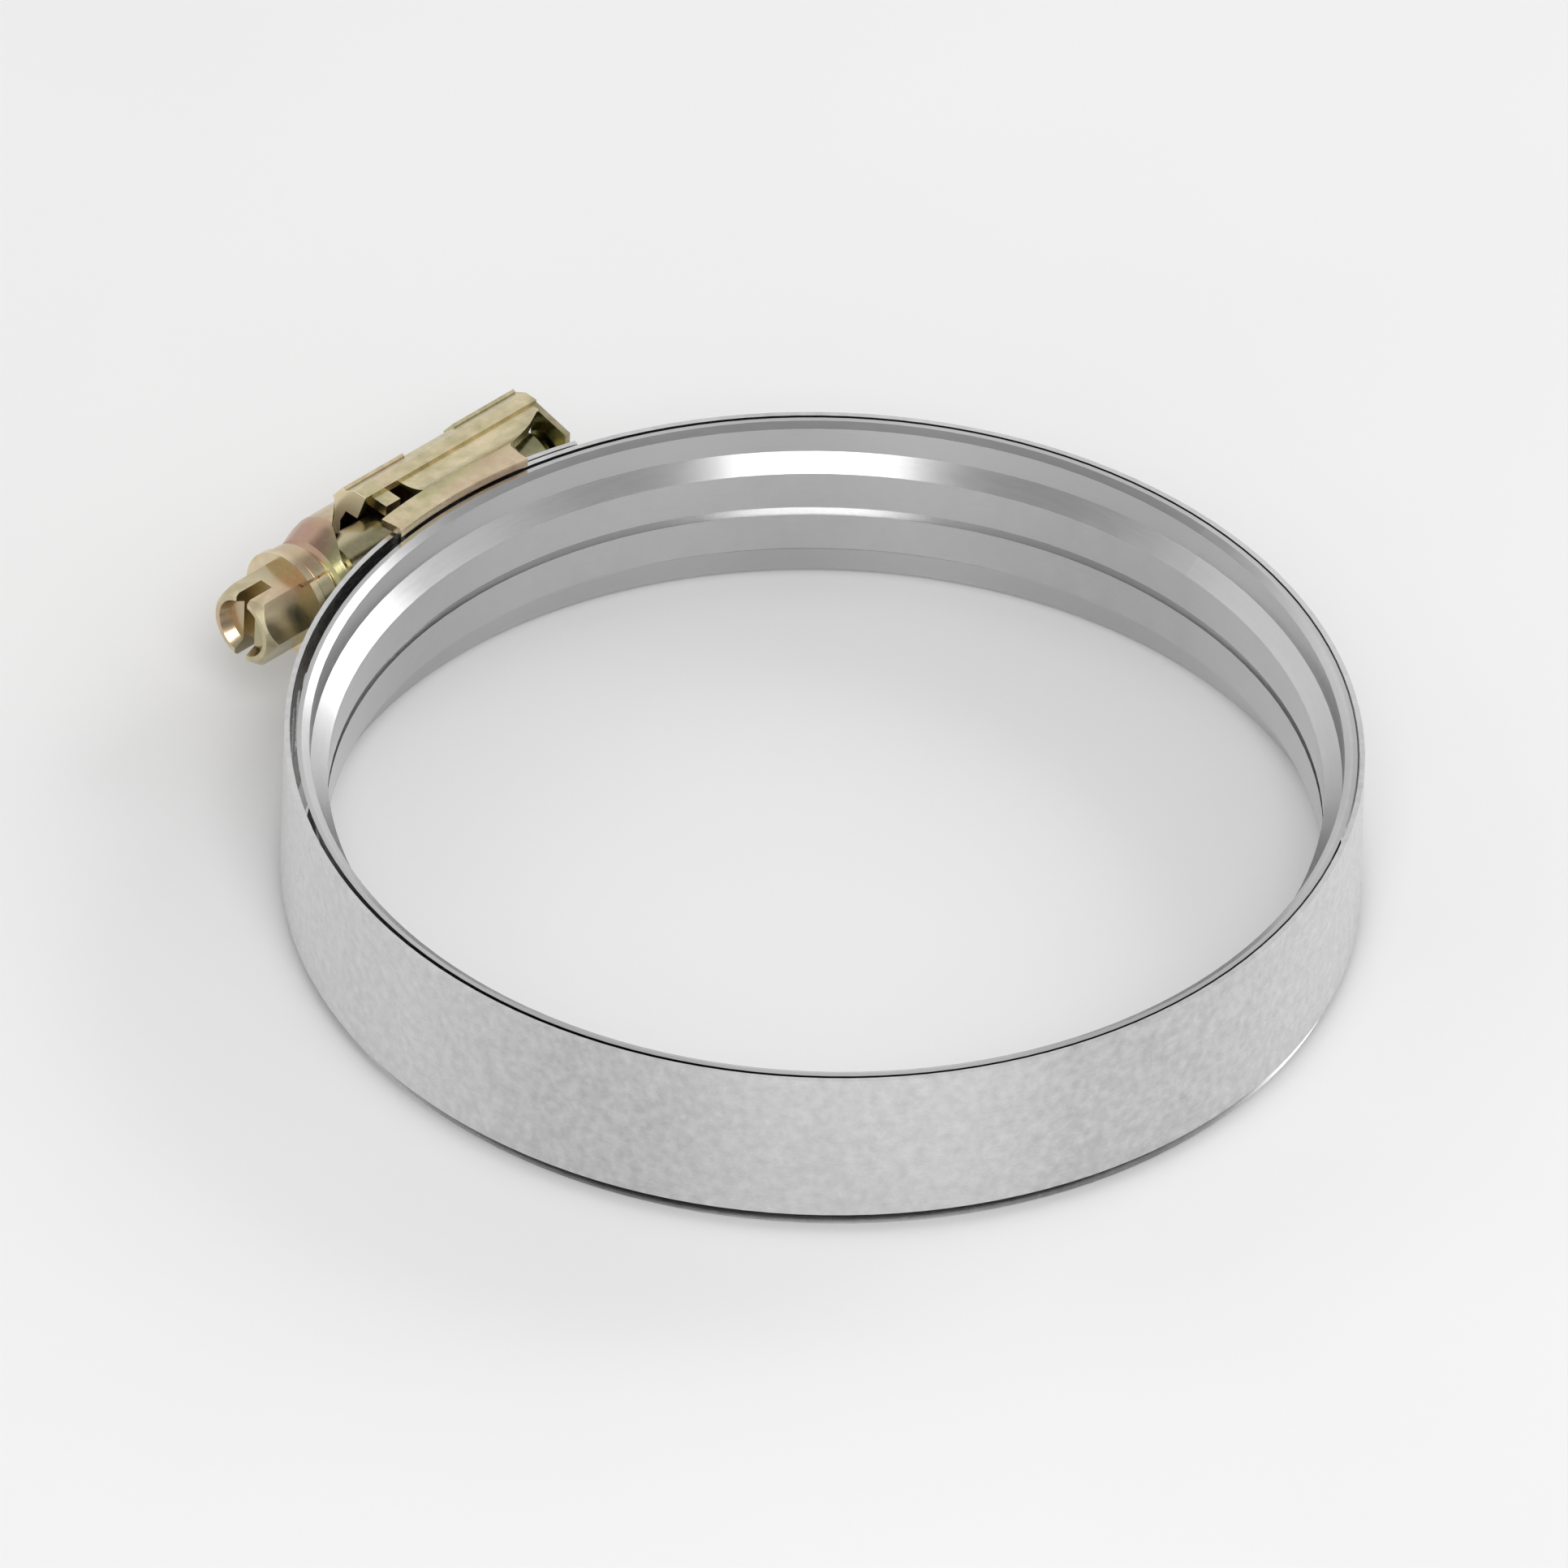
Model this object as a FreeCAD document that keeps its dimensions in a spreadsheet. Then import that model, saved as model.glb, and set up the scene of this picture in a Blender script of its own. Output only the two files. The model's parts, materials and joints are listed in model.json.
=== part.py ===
import FreeCAD, Part
import math
import os
import Sketcher
from FreeCAD import Placement, Rotation, Vector

# Worm-drive band clamp with a stepped liner ring.
# Frame: origin at the middle of the liner's bore, +Z along the bore, +Y towards the housing,
# the worm screw parallel to X with its hex head on the -X side.

doc = FreeCAD.newDocument("band_clamp")
sheet = doc.addObject("Spreadsheet::Sheet", "sizes")

SIZES = [
    # liner ring
    ("bore_radius", 51.2),
    ("land_height", 9.7),
    ("land_rise", 1.8),
    ("shoulder_height", 1.55),
    ("groove_width", 1.0),
    ("groove_depth", 0.6),
    ("lip_taper", 0.2),
    ("flare_height", 0.45),
    ("lip_flare", 0.8),
    ("liner_height", 19.2),
    ("liner_sheet", 0.5),
    # strap, with its free end lapped over the inner turn
    ("strap_clearance", 0.35),
    ("strap_thickness", 0.55),
    ("strap_width", 17.5),
    ("seat_offset", 0.15),
    ("seat_angle", -48.0),
    ("lap_gap", 0.19),
    ("tail_angle", 73.4),
    ("lap_end_angle", 105.0),
    ("ramp_end_angle", 155.0),
    ("inner_end_angle", 82.1),
    ("slot_bridge", 1.3),
    ("slot_length", 7.5),
    ("slots_to_tail", 4),
    ("slots_to_ramp", 13),
    ("anchor_front_angle", 98.0),
    ("anchor_rear_angle", 89.6),
    # worm screw
    ("worm_radius", 5.25),
    ("worm_root_radius", 3.6),
    ("worm_pitch", 3.0),
    ("thread_bite", 0.39),
    ("tooth_side_room", 0.45),
    ("tooth_flare", 1.0),
    ("thread_front", 0.9),
    ("thread_rear", 16.8),
    ("tip_length", 1.2),
    ("screw_rise", 1.42),
    ("neck_radius", 3.2),
    ("neck_length", 4.1),
    ("head_flats", 8.0),
    ("head_length", 6.3),
    ("head_chamfer_length", 1.0),
    ("head_end_radius", 3.75),
    ("dish_radius", 3.2),
    ("dish_depth", 1.2),
    ("driver_slot_width", 1.6),
    ("driver_slot_depth", 3.5),
    # split collar
    ("collar_radius", 5.45),
    ("collar_width", 3.0),
    ("collar_bead", 0.25),
    ("collar_bead_width", 0.9),
    ("collar_split", 0.3),
    ("collar_split_angle", 37.0),
    # housing
    ("cutter_margin", 1.0),
    ("cutter_reach", 14.0),
    ("running_clearance", 0.08),
    ("worm_clearance", 0.1),
    ("end_play", 0.1),
    ("housing_sheet", 0.9),
    ("dome_front", 15.0),
    ("dome_wall", 1.15),
    ("dome_nose_inset", 1.8),
    ("dome_nose_width", 1.1),
    ("dome_nose_depth", 0.7),
    ("dome_round_inset", 0.24),
    ("dome_round_depth", 3.0),
    ("dome_straight", 4.0),
    ("hollow_lead", 0.3),
    ("cover_front", 5.3),
    ("cover_rear", 19.1),
    ("cover_flange", 1.0),
    ("cover_base", 1.64),
    ("cover_wall", 0.55),
    ("cover_ledge", 0.3),
    ("crown_wall", 1.05),
    ("crown_half_width", 0.4),
    ("cover_side_height", 1.56),
    ("facet_foot_drop", 1.65),
    ("facet_foot_inset", 0.8),
    ("facet_top_drop", 0.27),
    ("facet_top_inset", 2.6),
    ("notch_top_drop", 1.12),
    ("notch_top_half", 0.84),
    ("notch_side_drop", 1.98),
    ("notch_side_half", 2.64),
    ("notch_foot_drop", 3.65),
    ("notch_foot_half", 2.66),
    ("pad_length", 8.6),
    ("pad_lift", 0.28),
    ("pad_spread", 0.21),
    ("saddle_front", 8.6),
    ("saddle_rear", 9.3),
    ("flank_front", 0.5),
    ("side_wall_front", 11.0),
    ("end_sheet", 0.7),
    ("end_depth", 3.4),
    ("end_narrowing", 1.4),
    ("window_front", 13.3),
    ("window_front_depth", 3.2),
    ("window_bend", 11.4),
    ("window_bend_height", 0.25),
    ("window_dome", 6.7),
    ("window_dome_height", 4.64),
    ("window_rim", 0.3),
    ("window_sill", 0.1),
    ("window_foot_depth", 2.6),
    ("window_foot_step", 1.4),
    ("window_deep", 9.0),
    ("window_low", 0.8),
    ("rear_cut_depth", 4.6),
    ("rear_cut_bend", 1.5),
    ("rear_cut_bend_depth", 3.2),
    ("rear_cut_run", 3.5),
    ("rear_cut_top", 1.0),
    ("front_cut_depth", 4.0),
    ("front_cut_bend", 1.0),
    ("front_cut_bend_depth", 2.5),
    ("front_cut_top", 1.5),
    ("wing_lap", 0.25),
    ("wing_flange", 3.4),
    ("strap_play", 0.3),
    ("tab_length", 2.0),
    ("tab_width", 2.8),
    ("tab_depth", 1.3),
    ("tab_rise", 0.7),
    ("tab_inset", 0.35),
]

for row, (name, value) in enumerate(SIZES, start=1):
    sheet.set(f"A{row}", name)
    sheet.set(f"B{row}", str(value))
    sheet.setAlias(f"B{row}", name)
doc.recompute()


def cell(formula):
    """The formula with every named size written as a reference to its cell."""
    words = {name for name, value in SIZES}
    out = ""
    word = ""
    for letter in formula + " ":
        if letter.isalnum() or letter == "_":
            word += letter
            continue
        out += f"sizes.{word}" if word in words else word
        out += letter
        word = ""
    return out.strip()


def size(formula):
    """The present value of a formula of named sizes."""
    result = sheet.evalExpression(cell(formula))
    return float(getattr(result, "Value", result))


# Formulas shared by several pieces.
LIP_OUT = "(bore_radius + land_rise + lip_taper + lip_flare + liner_sheet)"
STRAP_IN = f"({LIP_OUT} + strap_clearance)"
STRAP_OUT = f"({STRAP_IN} + strap_thickness)"
LAP_OUT = f"({STRAP_OUT} + lap_gap + strap_thickness)"
STRAP_X = "(-seat_offset * cos(seat_angle))"
STRAP_Y = "(-seat_offset * sin(seat_angle))"
STRAP_TOP = "(liner_height / 2)"
STRAP_BOTTOM = "(liner_height / 2 - strap_width)"
SCREW_REACH = f"({LAP_OUT} + worm_radius - thread_bite)"
SCREW_Y = f"({STRAP_Y} + {SCREW_REACH})"
SCREW_Z = "(liner_height / 2 - strap_width / 2 + screw_rise)"
SLOT_WIDTH = "(worm_pitch - slot_bridge)"
CREST_WIDTH = f"({SLOT_WIDTH} - 2 * tooth_side_room)"
TOOTH_BASE = f"({CREST_WIDTH} + tooth_flare)"
WORM_BORE = "(worm_radius + worm_clearance)"
DOME_RADIUS = f"({WORM_BORE} + dome_wall)"
COVER_HALF_WIDTH = f"({WORM_BORE} + cover_wall)"
COVER_CROWN = f"({WORM_BORE} + crown_wall)"
CHANNEL_OUT = f"({LAP_OUT} + strap_play)"
WING_OUT = f"({CHANNEL_OUT} + housing_sheet)"
WING_IN = f"({STRAP_IN} - wing_lap)"
CHEEK_TOP = f"({STRAP_TOP} + strap_play)"
CHEEK_BOTTOM = f"({STRAP_BOTTOM} - strap_play)"
ALONG_X = Rotation(Vector(0, 1, 0), 90)


def bind(item, **formulas):
    """Tie properties of an object to formulas of the sheet's sizes."""
    for name, formula in formulas.items():
        item.setExpression(name, cell(formula))


def place(item, x="0", y="0", z="0", turn=Rotation()):
    """Turn an object and tie its position to the sheet."""
    item.Placement = Placement(Vector(0, 0, 0), turn)
    for axis, formula in (("x", x), ("y", y), ("z", z)):
        item.setExpression(f"Placement.Base.{axis}", cell(formula))
    return item


def on_screw(item, along="0", turn=Rotation()):
    """Place an object on the screw's axis, at a distance along it from the strap's middle."""
    return place(item, f"{STRAP_X} + {along}", SCREW_Y, SCREW_Z, turn)


def outline(body, name, role, corners):
    """A closed straight-sided sketch on one of the body's own planes, each corner tied to the sheet."""
    sketch = body.newObject("Sketcher::SketchObject", name)
    plane = [item for item in body.Origin.OriginFeatures if item.Role == role][0]
    sketch.AttachmentSupport = [(plane, "")]
    sketch.MapMode = "FlatFace"
    spots = [Vector(size(across), size(up), 0) for across, up in corners]
    count = len(spots)
    for number in range(count):
        sketch.addGeometry(Part.LineSegment(spots[number], spots[(number + 1) % count]), False)
    for number in range(count):
        sketch.addConstraint(Sketcher.Constraint("Coincident", number, 2, (number + 1) % count, 1))
    for number, (across, up) in enumerate(corners):
        for kind, formula in (("DistanceX", across), ("DistanceY", up)):
            index = sketch.addConstraint(Sketcher.Constraint(kind, -1, 1, number, 1, size(formula)))
            sketch.renameConstraint(index, f"{kind}{number}")
            sketch.setExpression(f"Constraints.{kind}{number}", cell(formula))
    return sketch


def turned(name, corners):
    """A body turned full circle from an outline."""
    body = doc.addObject("PartDesign::Body", name)
    sketch = outline(body, f"{name}_outline", "XZ_Plane", corners)
    feature = body.newObject("PartDesign::Revolution", f"{name}_turned")
    feature.Profile = sketch
    feature.ReferenceAxis = (sketch, ["V_Axis"])
    feature.Angle = 360
    return body


def padded(name, corners, length, role="YZ_Plane"):
    """A body of one outline drawn out by a length."""
    body = doc.addObject("PartDesign::Body", name)
    sketch = outline(body, f"{name}_outline", role, corners)
    feature = body.newObject("PartDesign::Pad", f"{name}_pad")
    feature.Profile = sketch
    feature.setExpression("Length", cell(length))
    return body


def rod(name, radius, length, along="0"):
    """A cylinder on the screw's axis."""
    item = doc.addObject("Part::Cylinder", name)
    bind(item, Radius=radius, Height=length)
    return on_screw(item, along, ALONG_X)


def cut(name, base, tool):
    item = doc.addObject("Part::Cut", name)
    item.Base = base
    item.Tool = tool
    return item


def fuse(name, *pieces):
    item = doc.addObject("Part::MultiFuse", name)
    item.Shapes = list(pieces)
    item.Refine = True
    return item


def common(name, first, second):
    item = doc.addObject("Part::Common", name)
    item.Base = first
    item.Tool = second
    return item


def around_strap(radius, degrees, height=0.0):
    """The point at a radius and an angle about the strap's own centre."""
    turn = math.radians(degrees)
    centre = Vector(size(STRAP_X), size(STRAP_Y), height)
    return centre + Vector(radius * math.cos(turn), radius * math.sin(turn), 0)


# ---------------------------------------------------------------- liner ring
def liner_ring():
    """A closed sheet ring: flared lips, shoulders and a land with a pressed groove."""
    rim = "liner_height / 2"
    rim_low = "(liner_height / 2 - flare_height)"
    step_top = "(land_height / 2 + shoulder_height)"
    step_low = "(land_height / 2)"
    mitre = "liner_sheet * (sqrt(land_rise ^ 2 + shoulder_height ^ 2) - shoulder_height) / land_rise"
    lip_root = "bore_radius + land_rise"
    lip_rim = "bore_radius + land_rise + lip_taper"
    inside = [
        (f"{lip_rim} + lip_flare", rim),
        (lip_rim, rim_low),
        (lip_root, step_top),
        ("bore_radius", step_low),
        ("bore_radius", "groove_width / 2"),
        ("bore_radius + groove_depth", "groove_width / 2"),
    ]
    outside = [
        (f"{lip_rim} + lip_flare + liner_sheet", rim),
        (f"{lip_rim} + liner_sheet", f"{rim_low} - liner_sheet / 4"),
        (f"{lip_root} + liner_sheet", f"{step_top} - {mitre}"),
        ("bore_radius + liner_sheet", f"{step_low} - {mitre}"),
        ("bore_radius + liner_sheet", "groove_width / 2 + liner_sheet"),
        ("bore_radius + liner_sheet + groove_depth", "groove_width / 2 + liner_sheet"),
    ]
    lower = [(across, f"-({up})") for across, up in reversed(inside)]
    lower_out = [(across, f"-({up})") for across, up in reversed(outside)]
    corners = inside + lower + list(reversed(lower_out)) + list(reversed(outside))
    return turned("liner_ring", corners)


# ---------------------------------------------------------------- strap
def ramp_arcs():
    """Centre, middle radius and end angles of the strap's four tangent arcs, from the tail on."""
    step = size("lap_gap + strap_thickness")
    inner = size(STRAP_OUT) - size("strap_thickness") / 2
    tail = size("tail_angle")
    lap_end = size("lap_end_angle")
    ramp_end = size("ramp_end_angle")
    middle = (lap_end + ramp_end) / 2
    shift = step / (2 * (1 - math.cos(math.radians(middle - lap_end))))
    centre = around_strap(0, 0)
    return [
        (centre, inner + step, tail, lap_end),
        (around_strap(shift, lap_end), inner + step - shift, lap_end, middle),
        (around_strap(-shift, ramp_end), inner + shift, middle, ramp_end),
        (centre, inner, ramp_end, 360 + size("inner_end_angle")),
    ]


def arc_edge(centre, radius, start, end):
    """An arc edge about a centre, between two angles in degrees."""
    spots = []
    for degrees in (start, (start + end) / 2, end):
        turn = math.radians(degrees)
        spots.append(centre + Vector(radius * math.cos(turn), radius * math.sin(turn), 0))
    return Part.Arc(*spots).toShape()


def sector(arc, low, high):
    """The strap's section swept along one arc."""
    centre, radius, start, end = arc
    half = size("strap_thickness") / 2
    outer = arc_edge(centre, radius + half, start, end)
    inner = arc_edge(centre, radius - half, start, end)
    sides = []
    for number in (0, -1):
        first = outer.Vertexes[number].Point
        second = inner.Vertexes[number].Point
        sides.append(Part.makeLine(first, second))
    face = Part.Face(Part.Wire(Part.__sortEdges__([outer, sides[1], inner, sides[0]])))
    solid = face.extrude(Vector(0, 0, high - low))
    solid.translate(Vector(0, 0, low))
    return solid


def strap_surface(degrees):
    """Outer radius of the strap's slotted layer, about the strap's own centre."""
    for centre, radius, start, end in ramp_arcs():
        if start <= degrees <= end:
            away = centre - around_strap(0, 0)
            turn = math.radians(degrees)
            lead = away.x * math.cos(turn) + away.y * math.sin(turn)
            across = away.Length ** 2 - lead ** 2
            return lead + math.sqrt((radius + size("strap_thickness") / 2) ** 2 - across)
    return size(STRAP_OUT)


def slot_cutter(degrees):
    """A round-ended slot, slanted as the worm's thread is, through the strap's outer layer."""
    width = size(SLOT_WIDTH)
    half = size("slot_length") / 2
    deep = size("strap_thickness") + size("lap_gap") / 2
    lead = math.degrees(math.atan(size("worm_pitch") / (2 * math.pi * size("worm_radius"))))
    body = Part.makeBox(width, 2 * half - width, 2 * deep, Vector(-width / 2, width / 2 - half, -deep))
    for side in (-1, 1):
        end = Vector(0, side * (half - width / 2), -deep)
        body = body.fuse(Part.makeCylinder(width / 2, 2 * deep, end))
    # the slot's length turns from Y to Z, its depth from Z to the radius
    body.rotate(Vector(0, 0, 0), Vector(0, 0, 1), -lead)
    body.rotate(Vector(0, 0, 0), Vector(1, 0, 0), 90)
    body.rotate(Vector(0, 0, 0), Vector(0, 0, 1), degrees - 90)
    body.translate(around_strap(strap_surface(degrees), degrees, size(SCREW_Z)))
    return body


def slot_step():
    """Angle between neighbouring slots."""
    return math.degrees(size("worm_pitch") / (size(LAP_OUT) - size("thread_bite") / 2))


def strap_band():
    """The strap: slotted tail, ramp down and the long turn to its inner end, in one sheet."""
    low = size(STRAP_BOTTOM)
    high = size(STRAP_TOP)
    solids = [sector(arc, low, high) for arc in ramp_arcs()]
    shape = solids[0].fuse(solids[1:])
    first = -int(size("slots_to_tail"))
    last = int(size("slots_to_ramp"))
    cutters = [slot_cutter(90 + number * slot_step()) for number in range(first, last + 1)]
    shape = shape.cut(cutters).removeSplitter()
    item = doc.addObject("Part::Feature", "strap_band")
    item.Shape = shape
    item.Placement = Placement()
    return item


def ring_sector(name, outer, inner, low, high, rear, front):
    """A stretch of ring about the strap's centre, between two angles."""
    parts = []
    for word, radius in (("outside", outer), ("inside", inner)):
        item = doc.addObject("Part::Cylinder", f"{name}_{word}")
        bind(item, Radius=radius, Height=f"({high}) - ({low})", Angle=f"{front} - {rear}")
        parts.append(place(item, STRAP_X, STRAP_Y, low, Rotation(Vector(0, 0, 1), size(rear))))
    return cut(name, *parts)


def strap_anchor_end():
    """The strap's fixed inner end, held between the housing's two cheeks."""
    return ring_sector("strap_anchor_end", STRAP_OUT, STRAP_IN, CHEEK_BOTTOM, CHEEK_TOP,
                       "anchor_rear_angle", "anchor_front_angle")


# ---------------------------------------------------------------- worm screw
COLLAR_REAR = "(dome_front + end_play)"
HEAD_REAR = f"({COLLAR_REAR} + collar_width)"
HEAD_END = f"({HEAD_REAR} + head_length)"
NECK_END = f"({COLLAR_REAR} - neck_length)"
CORNER_RADIUS = "(head_flats / sqrt(3))"
CORNER_PAST = f"({CORNER_RADIUS} + cutter_margin / 100)"


def screw_head():
    """The hex head: chamfered corners, a dished end and a driver slot across it."""
    prism = doc.addObject("Part::Prism", "head_prism")
    prism.Polygon = 6
    bind(prism, Circumradius=CORNER_RADIUS, Height="head_length")
    on_screw(prism, f"-{HEAD_END}", ALONG_X * Rotation(Vector(0, 0, 1), 30))
    cone = doc.addObject("Part::Cone", "head_chamfer")
    bind(cone, Radius1="head_end_radius", Radius2=CORNER_PAST, Height="head_chamfer_length")
    on_screw(cone, f"-{HEAD_END}", ALONG_X)
    sleeve = rod("head_sleeve", CORNER_PAST, "head_length - head_chamfer_length",
                 f"-({HEAD_END} - head_chamfer_length)")
    shaped = common("head_shaped", prism, fuse("head_envelope", cone, sleeve))
    dish = doc.addObject("Part::Cone", "head_dish")
    bind(dish, Radius1="dish_radius", Radius2="dish_radius - dish_depth / 2", Height="dish_depth")
    on_screw(dish, f"-{HEAD_END}", ALONG_X)
    slot = doc.addObject("Part::Box", "driver_slot")
    bind(slot, Length="driver_slot_depth", Width="driver_slot_width", Height="head_flats * 2")
    place(slot, f"{STRAP_X} - {HEAD_END}", f"{SCREW_Y} - driver_slot_width / 2", f"{SCREW_Z} - head_flats")
    return cut("screw_head", shaped, fuse("head_hollows", dish, slot))


def thread():
    """The worm's left-hand thread, one tooth of it centred over the strap's middle slot."""
    pitch = size("worm_pitch")
    front = size("thread_front")
    root = size("worm_root_radius")
    crest = size("worm_radius")
    sunk = root - size("worm_clearance")
    half_base = size(TOOTH_BASE) / 2
    length = size("thread_front + thread_rear") - 2 * half_base
    helix = Part.makeLongHelix(pitch, length, root, 0, True)
    half_crest = size(CREST_WIDTH) / 2
    corners = [
        Vector(sunk, 0, -half_base),
        Vector(crest, 0, -half_crest),
        Vector(crest, 0, half_crest),
        Vector(sunk, 0, half_base),
    ]
    profile = Part.makePolygon(corners + corners[:1])
    ridge = Part.Wire(helix.Edges).makePipeShell([profile], True, True)
    ridge.rotate(Vector(0, 0, 0), Vector(0, 0, 1), -90 + 360 * (front - half_base) / pitch)
    ridge.translate(Vector(0, 0, half_base))
    item = doc.addObject("Part::Feature", "worm_thread")
    item.Shape = ridge
    return on_screw(item, "-thread_front", ALONG_X)


def worm_screw():
    """The screw in one piece: head, neck, worm and plain tip."""
    neck = rod("screw_neck", "neck_radius", f"{HEAD_REAR} - {NECK_END}", f"-{HEAD_REAR}")
    core = rod("worm_core", "worm_root_radius", f"{NECK_END} + thread_rear", f"-{NECK_END}")
    tip = doc.addObject("Part::Cone", "screw_tip")
    bind(tip, Radius1="neck_radius", Radius2="neck_radius - tip_length / 2", Height="tip_length")
    on_screw(tip, "thread_rear", ALONG_X)
    return fuse("worm_screw", screw_head(), neck, core, tip, thread())


def split_collar():
    """The rolled collar round the neck: a front bead and one open joint."""
    corners = [
        ("neck_radius", "0"),
        ("collar_radius + collar_bead", "0"),
        ("collar_radius + collar_bead", "collar_bead_width"),
        ("collar_radius", "collar_bead_width + collar_bead"),
        ("collar_radius", "collar_width - collar_bead"),
        ("collar_radius - collar_bead", "collar_width"),
        ("neck_radius", "collar_width"),
    ]
    ring = on_screw(turned("collar_ring", corners), f"-{HEAD_REAR}", ALONG_X)
    split = doc.addObject("Part::Box", "collar_joint")
    bind(split, Length="collar_width * 2", Width="collar_split", Height="collar_radius * 2")
    turn = Rotation(Vector(1, 0, 0), size("collar_split_angle"))
    on_screw(split, f"-{HEAD_REAR} - collar_width / 2", turn)
    return cut("split_collar", ring, split)


# ---------------------------------------------------------------- housing
def dome():
    """The drawn front of the housing, round the screw's neck, and its hollow."""
    shell = [
        ("0", "dome_front"),
        (f"{DOME_RADIUS} - dome_nose_inset", "dome_front"),
        (f"{DOME_RADIUS} - dome_nose_width", "dome_front - dome_nose_depth"),
        (f"{DOME_RADIUS} - dome_round_inset", "dome_front - dome_round_depth"),
        (DOME_RADIUS, "dome_front - dome_straight"),
        (DOME_RADIUS, "cover_front"),
        ("0", "cover_front"),
    ]
    body = turned("dome_shell", [(across, f"-({along})") for across, along in shell])
    return on_screw(body, "0", ALONG_X)


def screw_hollow():
    """Running bore for the neck and the worm's room behind it."""
    shoulder = f"({NECK_END} + hollow_lead)"
    corners = [
        ("0", "-(dome_front + cutter_margin)"),
        ("neck_radius + running_clearance", "-(dome_front + cutter_margin)"),
        ("neck_radius + running_clearance", f"-({shoulder} + cutter_margin)"),
        (WORM_BORE, f"-{shoulder}"),
        (WORM_BORE, "cover_rear + cutter_margin"),
        ("0", "cover_rear + cutter_margin"),
    ]
    return on_screw(turned("screw_hollow", corners), "0", ALONG_X)


FLANK_SPAN = f"(cover_base + {SCREW_REACH} - {WING_OUT} + housing_sheet / 2)"
FLANK_HALF = f"({COVER_HALF_WIDTH} - cover_ledge)"
RISE_TOP = f"({CHEEK_TOP} + housing_sheet - {SCREW_Z} - {FLANK_HALF})"
RISE_BOTTOM = f"({SCREW_Z} - {CHEEK_BOTTOM} + housing_sheet - {FLANK_HALF})"


def flank_rounds(name, grow):
    """The two round hollows that shape the housing's sides, larger by a growth."""
    rounds = []
    for side, rise in (("top", RISE_TOP), ("bottom", RISE_BOTTOM)):
        radius = f"({FLANK_SPAN} ^ 2 + {rise} ^ 2) / (2 * {rise})"
        sign = "+" if side == "top" else "-"
        item = doc.addObject("Part::Cylinder", f"{name}_{side}")
        bind(item, Radius=f"{radius} + {grow}", Height=f"{HEAD_END} + cover_rear")
        place(item, f"{STRAP_X} - {HEAD_END}", f"{SCREW_Y} + cover_base",
              f"{SCREW_Z} {sign} ({FLANK_HALF} + {radius})", ALONG_X)
        rounds.append(item)
    return fuse(name, *rounds)


def side_block(name, inset):
    """A block across the housing's whole width, from the cover's base down past the strap."""
    item = doc.addObject("Part::Box", name)
    bind(item, Length="side_wall_front + cover_rear - end_sheet",
         Width=f"{SCREW_Y} + cover_base - bore_radius",
         Height=f"{CHEEK_TOP} - {CHEEK_BOTTOM} + 2 * (housing_sheet - {inset})")
    return place(item, f"{STRAP_X} - side_wall_front", "bore_radius",
                 f"{CHEEK_BOTTOM} - housing_sheet + {inset}")


def plan_cutter(name, corners, low, high):
    """A prism over an outline seen along Z, in screw coordinates."""
    body = padded(name, corners, f"{high} - ({low})", "XY_Plane")
    return place(body, STRAP_X, SCREW_Y, f"{SCREW_Z} + {low}")


def strap_room(name, radius, low, high):
    """A disc about the strap's centre."""
    item = doc.addObject("Part::Cylinder", name)
    bind(item, Radius=radius, Height=f"({high}) - ({low})")
    return place(item, STRAP_X, STRAP_Y, low)


def saddle():
    """The flanges over the strap's face and the cheeks over its edges."""
    rear = f"(90 - asin(saddle_rear / {LAP_OUT}) / 1 deg)"
    front = f"(90 + asin(saddle_front / {LAP_OUT}) / 1 deg)"
    window = f"(90 + asin(flank_front / {LAP_OUT}) / 1 deg)"
    top = f"({CHEEK_TOP} + housing_sheet)"
    bottom = f"({CHEEK_BOTTOM} - housing_sheet)"
    stretches = [
        ("top_flange", CHANNEL_OUT, f"({top} - wing_flange)", top, window),
        ("bottom_flange", CHANNEL_OUT, bottom, f"({bottom} + wing_flange)", front),
        ("top_cheek", WING_IN, CHEEK_TOP, top, front),
        ("bottom_cheek", WING_IN, bottom, CHEEK_BOTTOM, front),
    ]
    return [ring_sector(name, WING_OUT, inside, low, high, rear, end)
            for name, inside, low, high, end in stretches]


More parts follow.
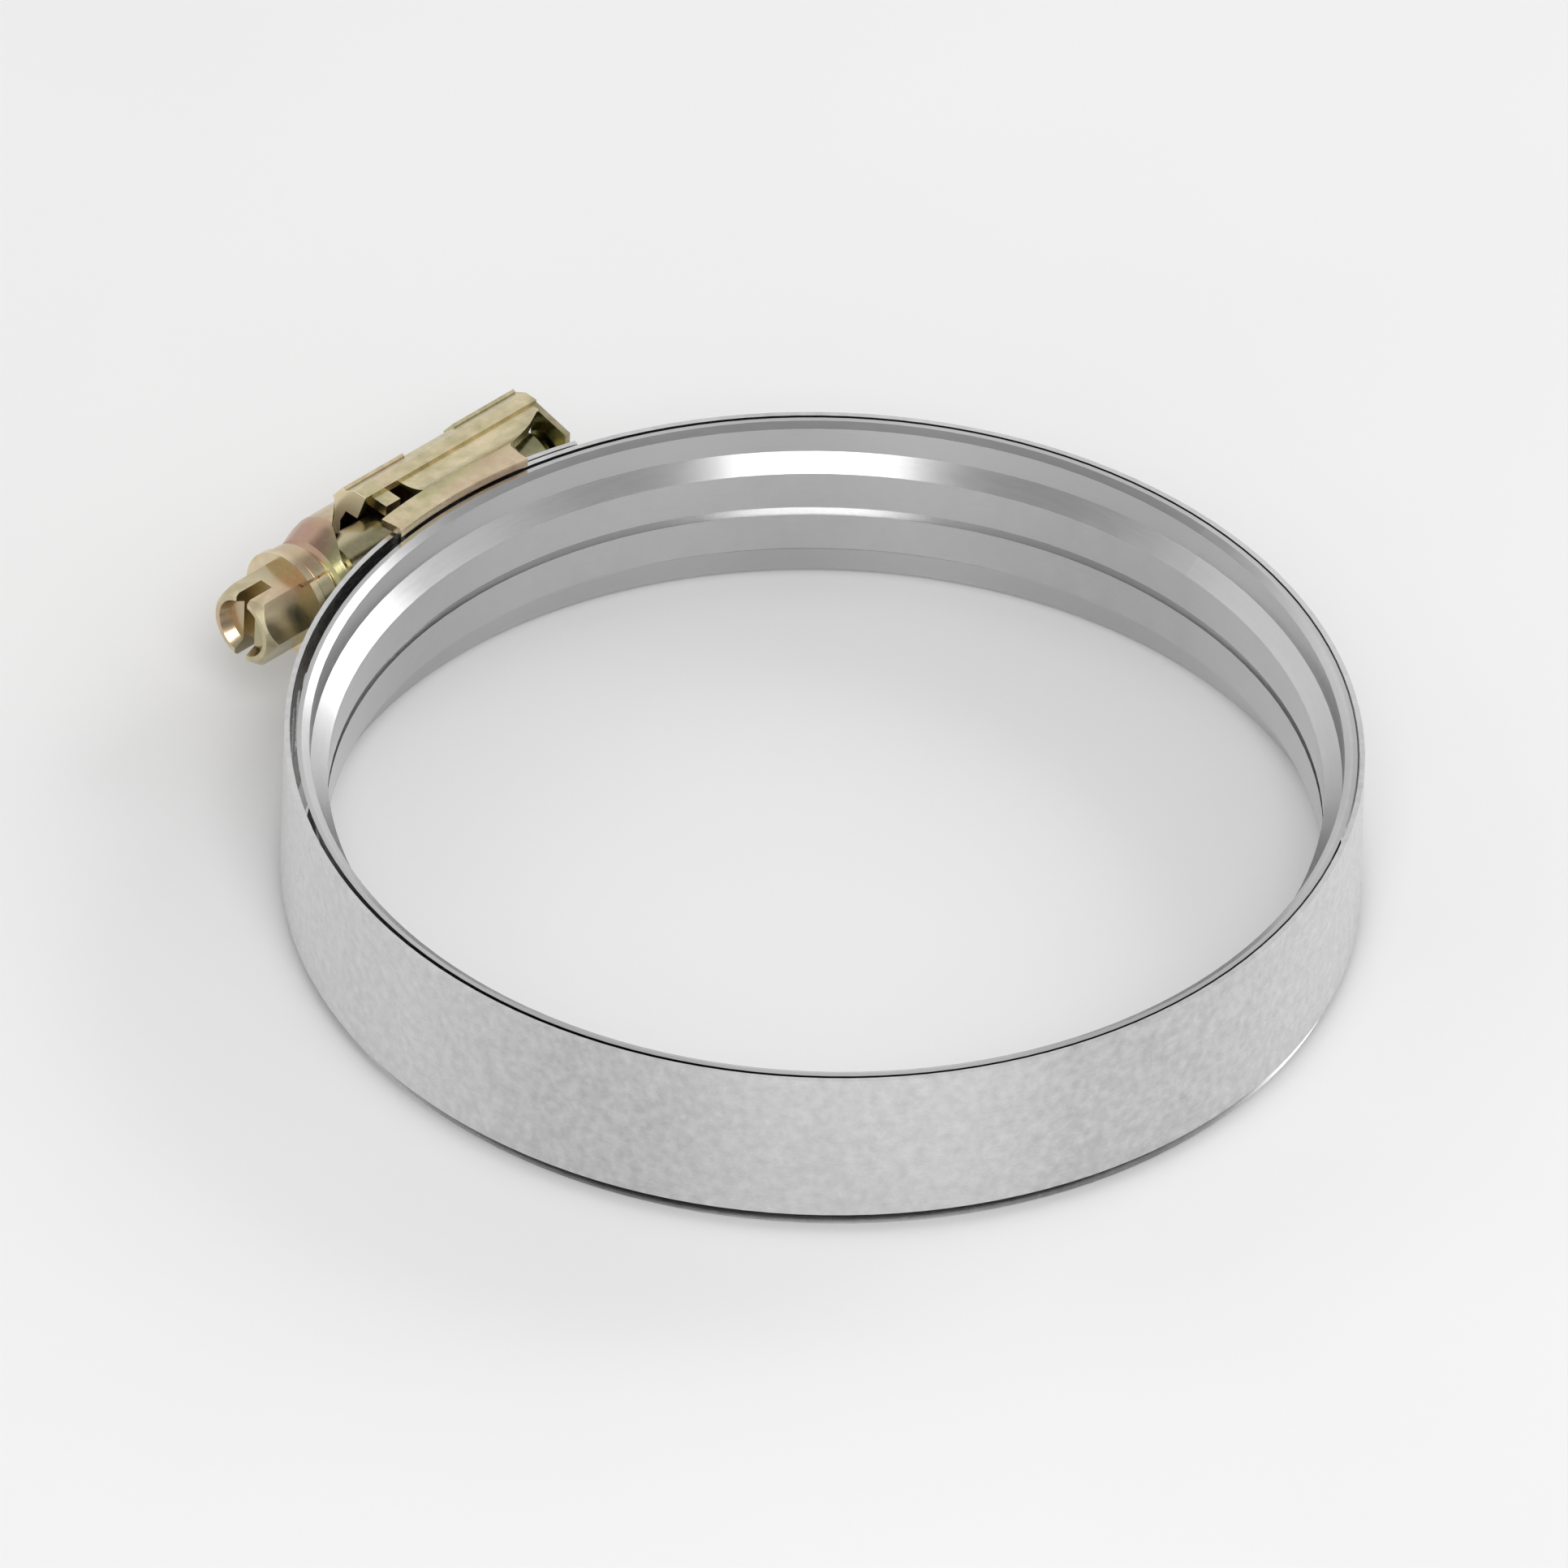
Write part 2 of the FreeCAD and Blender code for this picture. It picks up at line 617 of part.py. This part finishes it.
def housing_body():
    """Dome, side walls and wings in one pressing, with the open window beside the worm."""
    walls = cut("side_walls", side_block("side_solid", "0"), flank_rounds("flank_faces", "0"))
    inner = cut("side_space", side_block("side_inner", "housing_sheet"),
                flank_rounds("flank_backs", "housing_sheet"))
    hollow_walls = cut("side_shell", walls, inner)
    window = plan_cutter("window_cutter", [
        ("-window_front", "-window_front_depth"),
        ("-window_bend", "window_bend_height"),
        ("-window_dome", "window_dome_height"),
        ("-cover_front", f"{COVER_CROWN} + window_rim"),
        ("-cover_front", "cover_base + window_sill"),
        ("-flank_front", "cover_base + window_sill"),
        ("-flank_front", "-window_foot_depth"),
        ("-flank_front - window_foot_step", f"-({SCREW_REACH} - {WING_OUT})"),
        ("-window_front", "-window_deep"),
    ], "-window_low", "cutter_reach")
    rear_trim = plan_cutter("rear_trim", [
        ("saddle_rear", "-cutter_reach"),
        ("saddle_rear", "-rear_cut_depth"),
        ("saddle_rear + rear_cut_bend", "-rear_cut_bend_depth"),
        ("cover_rear - rear_cut_run", "-rear_cut_top"),
        ("cover_rear - end_sheet", "cover_base - rear_cut_top"),
        ("cover_rear - end_sheet", "-cutter_reach"),
    ], "-cutter_reach", "cutter_reach")
    front_trim = plan_cutter("front_trim", [
        ("-saddle_front", "-cutter_reach"),
        ("-side_wall_front - cutter_margin", "-cutter_reach"),
        ("-side_wall_front - cutter_margin", "-front_cut_top"),
        ("-saddle_front - front_cut_bend", "-front_cut_bend_depth"),
        ("-saddle_front", "-front_cut_depth"),
    ], "-cutter_reach", "cutter_reach")
    pressed = fuse("pressed_shell", hollow_walls, dome())
    opened = cut("opened_shell", pressed, fuse("openings", screw_hollow(), window, rear_trim, front_trim))
    end = padded("rear_end", [
        ("cover_base", FLANK_HALF),
        ("-end_depth", f"{COVER_HALF_WIDTH} - end_narrowing"),
        ("-end_depth", f"-({COVER_HALF_WIDTH} - end_narrowing)"),
        ("cover_base", f"-{FLANK_HALF}"),
    ], "end_sheet")
    on_screw(end, "cover_rear - end_sheet")
    channel = strap_room("strap_channel", CHANNEL_OUT, CHEEK_BOTTOM, CHEEK_TOP)
    inside = strap_room("liner_room", WING_IN, f"({CHEEK_BOTTOM} - cutter_reach)",
                        f"({CHEEK_TOP} + cutter_reach)")
    clear = cut("cleared_shell", opened, fuse("ring_rooms", channel, inside))
    return fuse("housing_body", clear, end, *saddle())


def cover_outline():
    """Half of the cover's faceted outside, from its top edge to the crown."""
    return [
        ("cover_base", COVER_HALF_WIDTH),
        ("cover_base + cover_side_height", COVER_HALF_WIDTH),
        (f"{COVER_CROWN} - facet_foot_drop", f"{COVER_HALF_WIDTH} - facet_foot_inset"),
        (f"{COVER_CROWN} - facet_top_drop", f"{COVER_HALF_WIDTH} - facet_top_inset"),
        (COVER_CROWN, "crown_half_width"),
    ]


def mirrored(corners):
    """The corners, followed by their mirror image below the middle."""
    return corners + [(across, f"-({up})") for across, up in reversed(corners)]


def housing_cover():
    """The faceted cover over the worm, thickened at its front edge."""
    outside = mirrored(cover_outline())
    roof = padded("cover_roof", outside, "cover_front + cover_rear - cover_flange")
    on_screw(roof, "-cover_front + cover_flange")
    hollow = rod("cover_hollow", WORM_BORE, "cover_front + cover_rear + 2 * cutter_margin",
                 "-cover_front - cutter_margin")
    roof = cut("cover_hollowed", roof, hollow)
    notch = [
        (f"{COVER_CROWN} - notch_top_drop", "notch_top_half"),
        (f"{COVER_CROWN} - notch_side_drop", "notch_side_half"),
        (f"{COVER_CROWN} - notch_foot_drop", "notch_foot_half"),
    ]
    lower_notch = [(across, f"-({up})") for across, up in notch]
    flange = padded("cover_front_flange", outside + list(reversed(lower_notch)) + notch, "cover_flange")
    on_screw(flange, "-cover_front")
    tab = doc.addObject("Part::Box", "cover_tab")
    bind(tab, Length="tab_length", Width="tab_width", Height="tab_depth")
    tab_top = f"({COVER_HALF_WIDTH} - tab_inset)"
    place(tab, f"{STRAP_X} - cover_front + cover_flange", f"{SCREW_Y} + cover_base + tab_rise - tab_width",
          f"{SCREW_Z} + {tab_top} - tab_depth")
    pieces = [roof, flange, tab]
    facet = cover_outline()[2:4]
    for side, sign in (("top", ""), ("bottom", "-")):
        corners = [(across, f"{sign}({up})") for across, up in facet]
        raised = [(f"{across} + pad_lift", f"{sign}({up} + pad_spread)")
                  for across, up in reversed(facet)]
        for place_name, along in (("front", "-cover_front"), ("rear", "(cover_rear - pad_length)")):
            pad = padded(f"{place_name}_{side}_pad", corners + raised, "pad_length")
            pieces.append(on_screw(pad, along))
    return fuse("housing_cover", *pieces)


NODES = [
    liner_ring(),
    strap_band(),
    strap_anchor_end(),
    worm_screw(),
    split_collar(),
    housing_body(),
    housing_cover(),
]
doc.recompute()

for item in doc.Objects:
    if "Invalid" in item.State or "Error" in item.State:
        raise RuntimeError(f"{item.Name} failed: {item.State}")

os.makedirs("parts", exist_ok=True)
for item in NODES:
    item.Label = item.Name
    shape = item.Shape
    if shape.isNull() or not shape.isValid():
        raise RuntimeError(f"{item.Label} has no valid shape")
    print(item.Label, "solids", len(shape.Solids), "volume", round(shape.Volume, 1))
    shape.exportStep(f"parts/{item.Label}.step")
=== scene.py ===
import json
import math

import bpy
from mathutils import Matrix, Vector


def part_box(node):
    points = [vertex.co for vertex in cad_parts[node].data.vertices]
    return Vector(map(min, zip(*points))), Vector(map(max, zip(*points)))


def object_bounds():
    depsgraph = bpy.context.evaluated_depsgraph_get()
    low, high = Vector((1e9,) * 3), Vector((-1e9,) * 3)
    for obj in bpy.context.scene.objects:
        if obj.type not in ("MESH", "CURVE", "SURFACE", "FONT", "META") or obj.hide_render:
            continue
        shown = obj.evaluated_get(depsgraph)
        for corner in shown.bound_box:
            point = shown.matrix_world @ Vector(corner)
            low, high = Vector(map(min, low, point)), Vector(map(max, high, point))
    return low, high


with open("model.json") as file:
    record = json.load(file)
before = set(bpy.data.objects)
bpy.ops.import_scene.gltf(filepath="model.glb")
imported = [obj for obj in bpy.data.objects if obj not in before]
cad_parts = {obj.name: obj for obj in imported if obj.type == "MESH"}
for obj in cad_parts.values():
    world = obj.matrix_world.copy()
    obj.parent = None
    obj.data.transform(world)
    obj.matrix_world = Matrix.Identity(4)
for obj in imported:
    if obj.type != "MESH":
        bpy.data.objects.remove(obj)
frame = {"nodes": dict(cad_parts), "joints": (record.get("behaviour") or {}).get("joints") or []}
cad_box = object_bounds()
scene = bpy.context.scene

MM = 0.001
FLOOR_WIDTH = 6.0
FLOOR_GAP = 0.2 * MM
BARE_FACE_DEPTH = 0.1 * MM


# ------------------------------------------------------------------ camera
def strap_top_centre():
    """The middle of the strap's top edge: the strap turns about it as the screw feeds it."""
    feed = [joint for joint in frame["joints"] if joint["name"] == "band_feed"][0]
    spot = Vector(feed["pos_m"])
    spot.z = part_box("strap_band")[1][2]
    return spot


def make_camera():
    """A straight-on product camera, looking down on the clamp with the screw head at its left."""
    tilt = math.radians(38.33)
    lean = math.radians(1.76)
    view_width = 161.0 * MM
    shift_right = 4.283 * MM
    shift_up = 3.82 * MM
    stand_off = 0.6
    across = Vector((math.sqrt(0.5), -math.sqrt(0.5), 0))
    level = Vector((math.sqrt(0.5), math.sqrt(0.5), 0))
    forward = level * math.cos(tilt) - Vector((0, 0, math.sin(tilt)))
    upward = across.cross(forward)
    right = across * math.cos(lean) + upward * math.sin(lean)
    up = upward * math.cos(lean) - across * math.sin(lean)
    aim = strap_top_centre() - right * shift_right - up * shift_up
    data = bpy.data.cameras.new("camera")
    data.type = "ORTHO"
    data.ortho_scale = view_width
    camera = bpy.data.objects.new("camera", data)
    scene.collection.objects.link(camera)
    turn = Matrix((right, up, -forward)).transposed().to_4x4()
    camera.matrix_world = Matrix.Translation(aim - forward * stand_off) @ turn
    scene.camera = camera


# ------------------------------------------------------------------ node helpers
def add(tree, kind, **values):
    """A node with its properties and input values set."""
    node = tree.nodes.new(kind)
    for name, value in values.items():
        if hasattr(node, name) and name not in node.inputs:
            setattr(node, name, value)
        else:
            node.inputs[name].default_value = value
    return node


def ramp(tree, stops, source):
    """A colour ramp over a 0 to 1 value."""
    node = tree.nodes.new("ShaderNodeValToRGB")
    points = node.color_ramp.elements
    while len(points) < len(stops):
        points.new(0.5)
    for point, (place, colour) in zip(points, stops):
        point.position = place
        point.color = (*colour, 1)
    tree.links.new(source, node.inputs["Fac"])
    return node.outputs["Color"]


def group_tree(name, inputs, outputs):
    """An empty node group with its sockets: names with default values, and names with kinds."""
    tree = bpy.data.node_groups.new(name, "ShaderNodeTree")
    for socket_name, value in inputs:
        socket = tree.interface.new_socket(socket_name, in_out="INPUT", socket_type="NodeSocketFloat")
        socket.default_value = value
    for socket_name, kind in outputs:
        tree.interface.new_socket(socket_name, in_out="OUTPUT", socket_type=kind)
    return tree, tree.nodes.new("NodeGroupInput"), tree.nodes.new("NodeGroupOutput")


def rolled_grain_and_painted_sheen():
    """Fine lines along the strip's rolling direction, with soft cloudy bands over them that are a painted
    reflection, lighter and darker round the strip.
    """
    tree, source, result = group_tree(
        "rolled_grain_and_painted_sheen", [("Lines", 900.0), ("Clouds", 40.0)],
        [("Grain", "NodeSocketFloat"), ("Painted_Sheen", "NodeSocketFloat")])
    place = add(tree, "ShaderNodeTexCoord")
    parts = add(tree, "ShaderNodeSeparateXYZ")
    tree.links.new(place.outputs["Object"], parts.inputs[0])
    turn = add(tree, "ShaderNodeMath", operation="ARCTAN2")
    tree.links.new(parts.outputs["Y"], turn.inputs[0])
    tree.links.new(parts.outputs["X"], turn.inputs[1])
    line_stretch = 0.004
    slow = add(tree, "ShaderNodeMath", operation="MULTIPLY")
    slow.inputs[1].default_value = line_stretch
    tree.links.new(turn.outputs[0], slow.inputs[0])
    lined = add(tree, "ShaderNodeCombineXYZ")
    tree.links.new(slow.outputs[0], lined.inputs["X"])
    tree.links.new(parts.outputs["Z"], lined.inputs["Y"])
    fine = add(tree, "ShaderNodeTexNoise", Detail=4.0, Roughness=0.6)
    tree.links.new(lined.outputs[0], fine.inputs["Vector"])
    tree.links.new(source.outputs["Lines"], fine.inputs["Scale"])
    # Painted reflection: noise over the flat X and Y only, so its light and dark bands stand upright round
    # the strip.
    flat = add(tree, "ShaderNodeCombineXYZ")
    tree.links.new(parts.outputs["X"], flat.inputs["X"])
    tree.links.new(parts.outputs["Y"], flat.inputs["Y"])
    painted_sheen_noise = add(tree, "ShaderNodeTexNoise", Detail=1.0, Roughness=0.4)
    tree.links.new(flat.outputs[0], painted_sheen_noise.inputs["Vector"])
    tree.links.new(source.outputs["Clouds"], painted_sheen_noise.inputs["Scale"])
    tree.links.new(fine.outputs["Fac"], result.inputs["Grain"])
    tree.links.new(painted_sheen_noise.outputs["Fac"], result.inputs["Painted_Sheen"])
    return tree


def painted_edge_highlights():
    """A painted highlight mask that is bright along sharp outer edges, broken up by speckle."""
    tree, source, result = group_tree("painted_edge_highlights", [("Amount", 1.0), ("Speckle", 600.0)],
                                      [("Edge", "NodeSocketFloat")])
    shape = add(tree, "ShaderNodeNewGeometry")
    # Painted highlight: pointiness picks out the sharp outer edges.
    sharp = add(tree, "ShaderNodeMapRange", interpolation_type="SMOOTHSTEP")
    edge_starts = 0.52
    edge_full = 0.62
    sharp.inputs["From Min"].default_value = edge_starts
    sharp.inputs["From Max"].default_value = edge_full
    tree.links.new(shape.outputs["Pointiness"], sharp.inputs["Value"])
    place = add(tree, "ShaderNodeTexCoord")
    speckle = add(tree, "ShaderNodeTexNoise", Detail=3.0)
    tree.links.new(place.outputs["Object"], speckle.inputs["Vector"])
    tree.links.new(source.outputs["Speckle"], speckle.inputs["Scale"])
    broken = add(tree, "ShaderNodeMath", operation="MULTIPLY")
    tree.links.new(sharp.outputs["Result"], broken.inputs[0])
    tree.links.new(speckle.outputs["Fac"], broken.inputs[1])
    scaled = add(tree, "ShaderNodeMath", operation="MULTIPLY", use_clamp=True)
    tree.links.new(broken.outputs[0], scaled.inputs[0])
    tree.links.new(source.outputs["Amount"], scaled.inputs[1])
    tree.links.new(scaled.outputs[0], result.inputs["Edge"])
    return tree


def fresh_material(name):
    """A new node material with its tree and its shader."""
    material = bpy.data.materials.new(name)
    material.use_nodes = True
    tree = material.node_tree
    shader = tree.nodes["Principled BSDF"]
    return material, tree, shader


def place_group(tree, group, **values):
    """A shared group put into a material with its own values."""
    node = tree.nodes.new("ShaderNodeGroup")
    node.node_tree = group
    for name, value in values.items():
        node.inputs[name].default_value = value
    return node


def mix_colour(tree, amount, first, second, blend="MIX"):
    """Two colours mixed; each is a socket or a fixed colour."""
    node = tree.nodes.new("ShaderNodeMix")
    node.data_type = "RGBA"
    node.blend_type = blend
    for socket, value in ((node.inputs[0], amount), (node.inputs[6], first), (node.inputs[7], second)):
        if isinstance(value, bpy.types.NodeSocket):
            tree.links.new(value, socket)
        elif isinstance(value, tuple):
            socket.default_value = (*value, 1)
        else:
            socket.default_value = value
    return node.outputs[2]


def remap(tree, source, low, high):
    """A 0 to 1 value spread between two values."""
    node = tree.nodes.new("ShaderNodeMapRange")
    node.inputs["To Min"].default_value = low
    node.inputs["To Max"].default_value = high
    tree.links.new(source, node.inputs["Value"])
    return node.outputs["Result"]


# ------------------------------------------------------------------ materials
def bright_strip(name, dark, light, rough_low, rough_high, grain_and_sheen_group, edge_highlight_group):
    """Bright rolled stainless strip, with painted reflection bands in its base colour and painted highlights
    along its sharp edges.
    """
    material, tree, shader = fresh_material(name)
    grain_and_sheen = place_group(tree, grain_and_sheen_group, Lines=3400.0, Clouds=24.0)
    edge_highlight = place_group(tree, edge_highlight_group, Amount=0.7, Speckle=900.0)
    # Painted reflection: the cloudy bands set the base colour between the dark and light grey.
    base = ramp(tree, [(0.35, dark), (0.65, light)], grain_and_sheen.outputs["Painted_Sheen"])
    lined = mix_colour(tree, 0.06, base, grain_and_sheen.outputs["Grain"], "OVERLAY")
    # Painted highlight: sharp edges are mixed towards light grey.
    highlighted = mix_colour(tree, edge_highlight.outputs["Edge"], lined, (0.9, 0.9, 0.9))
    tree.links.new(highlighted, shader.inputs["Base Color"])
    tree.links.new(remap(tree, grain_and_sheen.outputs["Grain"], rough_low, rough_high), shader.inputs["Roughness"])
    shader.inputs["Metallic"].default_value = 1.0
    bump = add(tree, "ShaderNodeBump", Strength=0.05, Distance=0.00004)
    tree.links.new(grain_and_sheen.outputs["Grain"], bump.inputs["Height"])
    tree.links.new(bump.outputs["Normal"], shader.inputs["Normal"])
    return material


def yellow_passivation(name, stops, rough_low, rough_high, edge_highlight_group):
    """Yellow-passivated zinc: a thin film that drifts between olive, straw and rose, with painted highlights
    along its sharp edges.
    """
    material, tree, shader = fresh_material(name)
    place = add(tree, "ShaderNodeTexCoord")
    drift = add(tree, "ShaderNodeTexNoise", Scale=95.0, Detail=2.5, Roughness=0.45, Distortion=0.6)
    tree.links.new(place.outputs["Object"], drift.inputs["Vector"])
    speck = add(tree, "ShaderNodeTexNoise", Scale=1800.0, Detail=3.0)
    tree.links.new(place.outputs["Object"], speck.inputs["Vector"])
    film = ramp(tree, stops, drift.outputs["Fac"])
    mottled = mix_colour(tree, 0.1, film, speck.outputs["Fac"], "OVERLAY")
    edge_highlight = place_group(tree, edge_highlight_group, Amount=1.1, Speckle=700.0)
    # Painted highlight: sharp edges are mixed towards a pale straw.
    highlighted = mix_colour(tree, edge_highlight.outputs["Edge"], mottled, (0.85, 0.72, 0.5))
    tree.links.new(highlighted, shader.inputs["Base Color"])
    tree.links.new(remap(tree, speck.outputs["Fac"], rough_low, rough_high), shader.inputs["Roughness"])
    shader.inputs["Metallic"].default_value = 1.0
    bump = add(tree, "ShaderNodeBump", Strength=0.08, Distance=0.00005)
    tree.links.new(speck.outputs["Fac"], bump.inputs["Height"])
    tree.links.new(bump.outputs["Normal"], shader.inputs["Normal"])
    return material


def bare_front(material, front):
    """The cover's sheared front edge: a matt cream skin in place of the bright film."""
    tree = material.node_tree
    shader = tree.nodes["Principled BSDF"]
    place = add(tree, "ShaderNodeTexCoord")
    parts = add(tree, "ShaderNodeSeparateXYZ")
    tree.links.new(place.outputs["Object"], parts.inputs[0])
    mask = add(tree, "ShaderNodeMath", operation="LESS_THAN")
    tree.links.new(parts.outputs["X"], mask.inputs[0])
    mask.inputs[1].default_value = front
    film = shader.inputs["Base Color"].links[0].from_socket
    tree.links.new(mix_colour(tree, mask.outputs[0], film, (0.84, 0.73, 0.48)), shader.inputs["Base Color"])
    tree.links.new(remap(tree, mask.outputs[0], 1.0, 0.15), shader.inputs["Metallic"])


FILM = [(0.30, (0.24, 0.23, 0.11)), (0.46, (0.42, 0.40, 0.20)),
        (0.56, (0.50, 0.37, 0.24)), (0.70, (0.46, 0.29, 0.22))]
HEAD_FILM = [(0.30, (0.40, 0.38, 0.22)), (0.50, (0.52, 0.46, 0.30)), (0.65, (0.58, 0.42, 0.28))]


def finish_nodes():
    """Give every part of the clamp its finish."""
    # Shared groups: rolled grain with painted reflection bands, and painted edge highlights.
    grain_and_sheen = rolled_grain_and_painted_sheen()
    edge_highlights = painted_edge_highlights()
    strap = bright_strip("strap_steel", (0.42, 0.42, 0.42), (0.62, 0.62, 0.62), 0.24, 0.30, grain_and_sheen, edge_highlights)
    liner = bright_strip("liner_steel", (0.44, 0.44, 0.44), (0.58, 0.58, 0.58), 0.20, 0.26, grain_and_sheen, edge_highlights)
    housing = yellow_passivation("housing_zinc", FILM, 0.18, 0.32, edge_highlights)
    cover = yellow_passivation("cover_zinc", FILM, 0.18, 0.32, edge_highlights)
    bare_front(cover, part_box("housing_cover")[0][0] + BARE_FACE_DEPTH)
    screw = yellow_passivation("screw_zinc", HEAD_FILM, 0.16, 0.30, edge_highlights)
    finishes = {
        "strap_band": strap,
        "strap_anchor_end": strap,
        "liner_ring": liner,
        "worm_screw": screw,
        "split_collar": screw,
        "housing_body": housing,
        "housing_cover": cover,
    }
    for node, material in finishes.items():
        slots = frame["nodes"][node].data.materials
        for number in range(len(slots)):
            slots[number] = material


# ------------------------------------------------------------------ stage and light
def make_floor():
    """A plain pale floor just under the clamp."""
    bpy.ops.mesh.primitive_plane_add(size=FLOOR_WIDTH, location=(0, 0, cad_box[0][2] - FLOOR_GAP))
    floor = bpy.context.object
    floor.name = "floor"
    material, tree, shader = fresh_material("floor_white")
    place = add(tree, "ShaderNodeTexCoord")
    mottle = add(tree, "ShaderNodeTexNoise", Scale=9.0, Detail=3.0)
    tree.links.new(place.outputs["Object"], mottle.inputs["Vector"])
    tree.links.new(ramp(tree, [(0.3, (0.88, 0.88, 0.88)), (0.7, (0.91, 0.91, 0.91))], mottle.outputs["Fac"]),
                   shader.inputs["Base Color"])
    tree.links.new(remap(tree, mottle.outputs["Fac"], 0.85, 0.95), shader.inputs["Roughness"])
    floor.data.materials.append(material)


def soft_light(name, spot, size, power):
    """A square soft light that faces the middle of the clamp."""
    data = bpy.data.lights.new(name, "AREA")
    data.shape = "SQUARE"
    data.size = size
    data.energy = power
    lamp = bpy.data.objects.new(name, data)
    scene.collection.objects.link(lamp)
    lamp.location = spot
    facing = -Vector(spot)
    lamp.rotation_euler = facing.to_track_quat("-Z", "Y").to_euler()


def make_studio():
    """A pale room, softly darker overhead, with two soft lights."""
    world = bpy.data.worlds.new("studio")
    scene.world = world
    world.use_nodes = True
    tree = world.node_tree
    place = add(tree, "ShaderNodeTexCoord")
    parts = add(tree, "ShaderNodeSeparateXYZ")
    tree.links.new(place.outputs["Generated"], parts.inputs[0])
    room = ramp(tree, [(0.0, (0.9, 0.9, 0.9)), (0.62, (0.95, 0.95, 0.95)), (0.78, (0.40, 0.40, 0.40))],
                parts.outputs["Z"])
    tree.links.new(room, tree.nodes["Background"].inputs["Color"])
    tree.nodes["Background"].inputs["Strength"].default_value = 1.0
    soft_light("key", (-0.5, -0.6, 0.9), 0.6, 5.0)
    soft_light("fill", (0.9, -0.1, 0.5), 0.5, 2.0)
    scene.view_settings.view_transform = "Standard"


bpy.ops.object.select_all(action="DESELECT")
make_camera()
finish_nodes()
make_floor()
make_studio()
